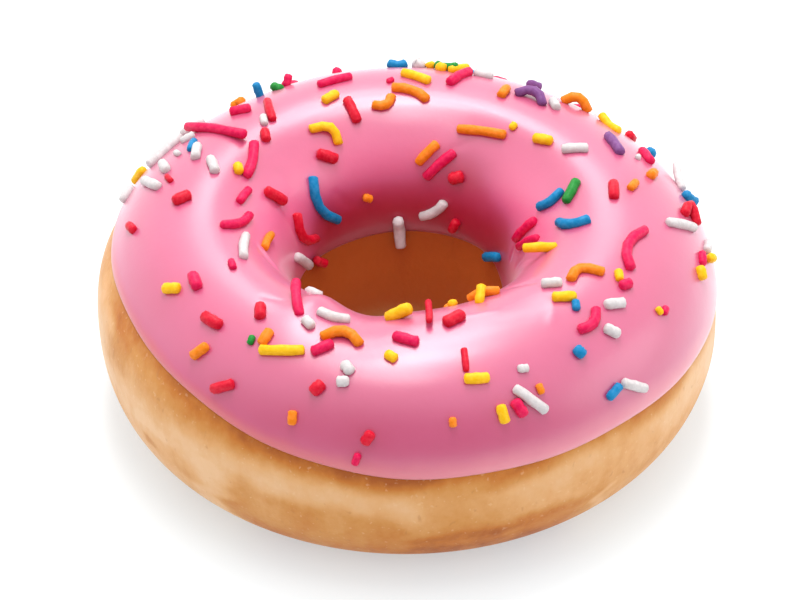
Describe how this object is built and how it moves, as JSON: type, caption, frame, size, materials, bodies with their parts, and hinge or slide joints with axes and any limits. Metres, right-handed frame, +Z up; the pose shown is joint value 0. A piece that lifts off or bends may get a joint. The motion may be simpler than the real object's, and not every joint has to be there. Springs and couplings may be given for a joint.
{
  "type": "frosted ring doughnut with sprinkles",
  "caption": "Ring doughnut of golden fried dough with glossy pink icing over its top and coloured sugar sprinkles.",
  "frame": {"origin": "middle of the bounding box on the flat base that the doughnut rests on, close to the axis of its hole", "axes": "+Z up through the hole, towards the iced side; -Y towards the side seen nearest from the front; +X to the right seen from there"},
  "size_m": [0.0942, 0.0934, 0.0363],
  "materials": {
    "dough": "fried crust, golden to brown, matte with a slight sheen",
    "icing": "set sugar icing, pink, semi-gloss"
  },
  "bodies": {
    "root": {"dough": "dough", "icing": "icing"}
  },
  "joints": []
}
